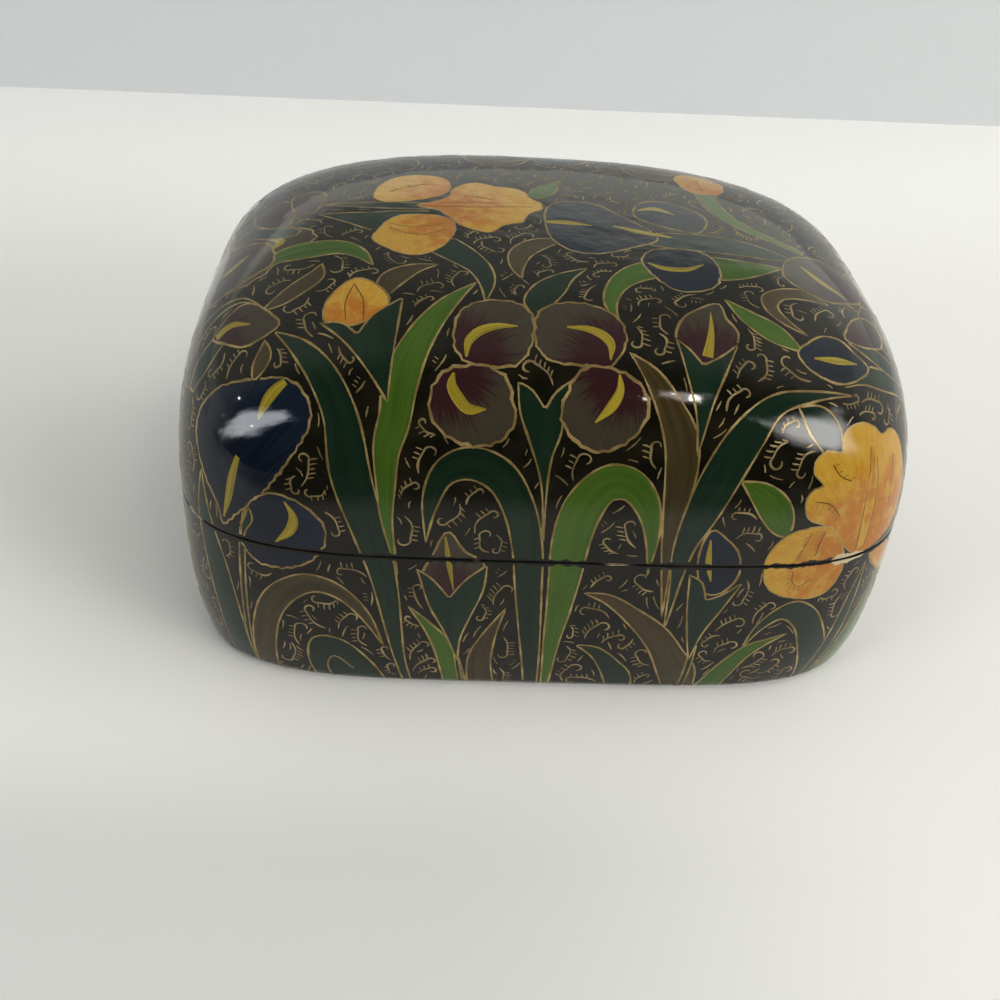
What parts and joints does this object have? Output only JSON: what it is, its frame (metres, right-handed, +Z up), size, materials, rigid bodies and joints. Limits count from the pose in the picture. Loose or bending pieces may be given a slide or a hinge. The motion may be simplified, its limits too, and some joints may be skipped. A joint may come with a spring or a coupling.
{
  "type": "lidded box",
  "caption": "Pillow-shaped papier-mache box with a lift-off domed lid located by a collar inside the base, painted and lacquered all over.",
  "frame": {"origin": "centre of the flat foot, on the table", "axes": "+Z up through the crown of the lid, +X along the width to the right of the pictured front, +Y towards the back"},
  "size_m": [0.114, 0.092, 0.0595],
  "materials": {
    "moulded_pulp": "black painted inside",
    "painted_lacquer": "gloss lacquer over painted ground",
    "collar_card": "black painted, rubbed on its edge"
  },
  "bodies": {
    "base": {"base_shell": "moulded_pulp", "base_coat": "painted_lacquer", "rim_collar": "collar_card"},
    "lid": {"lid_shell": "moulded_pulp", "lid_coat": "painted_lacquer"}
  },
  "joints": [
    {"name": "lid_lift", "type": "slide", "parent": "base", "child": "lid", "axis": [0, 0, 1], "range_m": [0, 0.06]}
  ]
}
